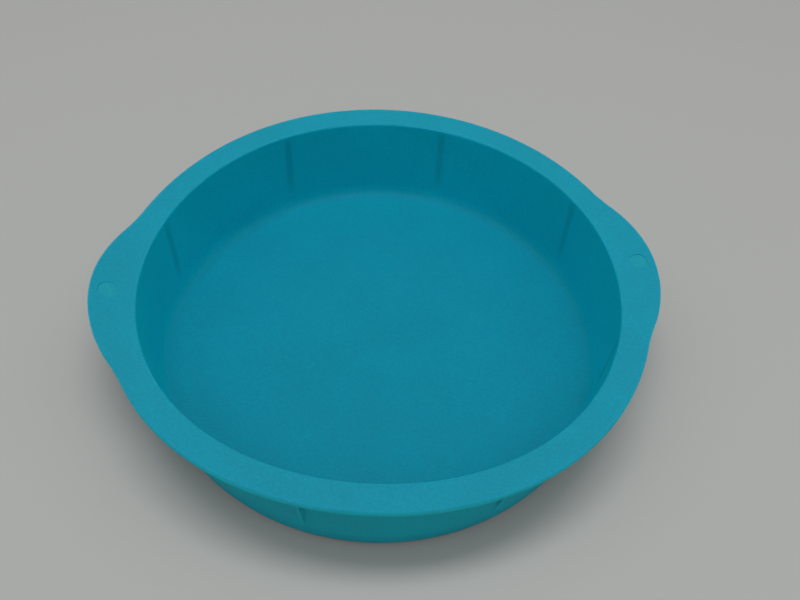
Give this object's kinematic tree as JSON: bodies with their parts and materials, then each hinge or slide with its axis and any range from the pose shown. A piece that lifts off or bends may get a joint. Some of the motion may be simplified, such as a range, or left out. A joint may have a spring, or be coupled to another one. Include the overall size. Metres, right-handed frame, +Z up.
{
  "type": "round cake pan",
  "caption": "Round soft cake pan with an upright wall, a flat rim that widens into a handle on each side, thin ribs under the rim and a stiffening wire inside it.",
  "frame": {"origin": "centre of the base, on the surface the pan stands on", "axes": "+Z up through the open mouth, +X from the pan's axis to the right handle, +Y to the back"},
  "size_m": [0.2838, 0.2686, 0.058],
  "materials": {
    "silicone": "satin teal-blue silicone",
    "steel": "drawn stainless wire"
  },
  "bodies": {
    "root": {"silicone_pan": "silicone", "left_handle_plug": "silicone", "right_handle_plug": "silicone", "rim_wire": "steel"}
  },
  "joints": []
}
